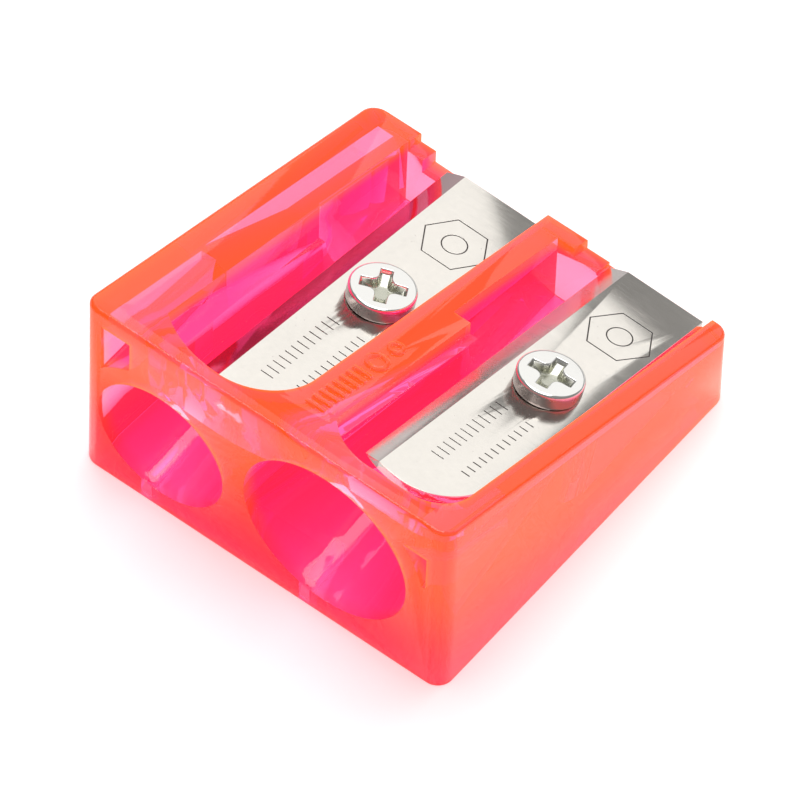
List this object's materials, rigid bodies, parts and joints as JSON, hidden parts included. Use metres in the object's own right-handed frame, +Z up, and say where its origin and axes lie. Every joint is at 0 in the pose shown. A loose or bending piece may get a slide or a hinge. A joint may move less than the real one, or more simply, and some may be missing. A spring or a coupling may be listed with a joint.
{
  "type": "pencil sharpener",
  "caption": "Wedge-shaped double pencil sharpener: clear moulded body with a thin-pencil hole and a thick-pencil hole, each with a steel blade held by a screw.",
  "frame": {"origin": "centre of the body's rectangular footprint, on the surface that the sharpener stands on", "axes": "+X to the right seen from the pencil holes, +Y from the face with the pencil holes to the rear, +Z up"},
  "size_m": [0.025, 0.0256, 0.0142],
  "materials": {
    "body_plastic": "clear fluorescent pink polystyrene, polished mould finish, edges glow orange",
    "blade_steel": "ground and polished carbon steel",
    "screw_steel": "bright nickel plate"
  },
  "bodies": {
    "body": {"body": "body_plastic"},
    "small_blade": {"small_blade": "blade_steel"},
    "small_screw": {"small_screw": "screw_steel"},
    "large_blade": {"large_blade": "blade_steel"},
    "large_screw": {"large_screw": "screw_steel"}
  },
  "joints": [
    {"name": "small_blade_lift", "type": "slide", "parent": "body", "child": "small_blade", "axis": [0.0339, 0.2368, 0.971], "range_m": [0, 0.0048]},
    {"name": "small_screw_turn", "type": "hinge", "parent": "small_blade", "child": "small_screw", "pos_m": [-0.00327, 0.00153, 0.00649], "axis": [0.0339, 0.2368, 0.971], "range_deg": [0, 2161]},
    {"name": "large_blade_lift", "type": "slide", "parent": "body", "child": "large_blade", "axis": [0.0333, 0.299, 0.9537], "range_m": [0, 0.0048]},
    {"name": "large_screw_turn", "type": "hinge", "parent": "large_blade", "child": "large_screw", "pos_m": [0.00802, 0.00172, 0.00796], "axis": [0.0333, 0.299, 0.9537], "range_deg": [0, 2161]}
  ],
  "couplings": [
    {"joint": "small_screw_turn", "follows": "small_blade_lift", "rad_per_m": 7854},
    {"joint": "large_screw_turn", "follows": "large_blade_lift", "rad_per_m": 7854}
  ]
}
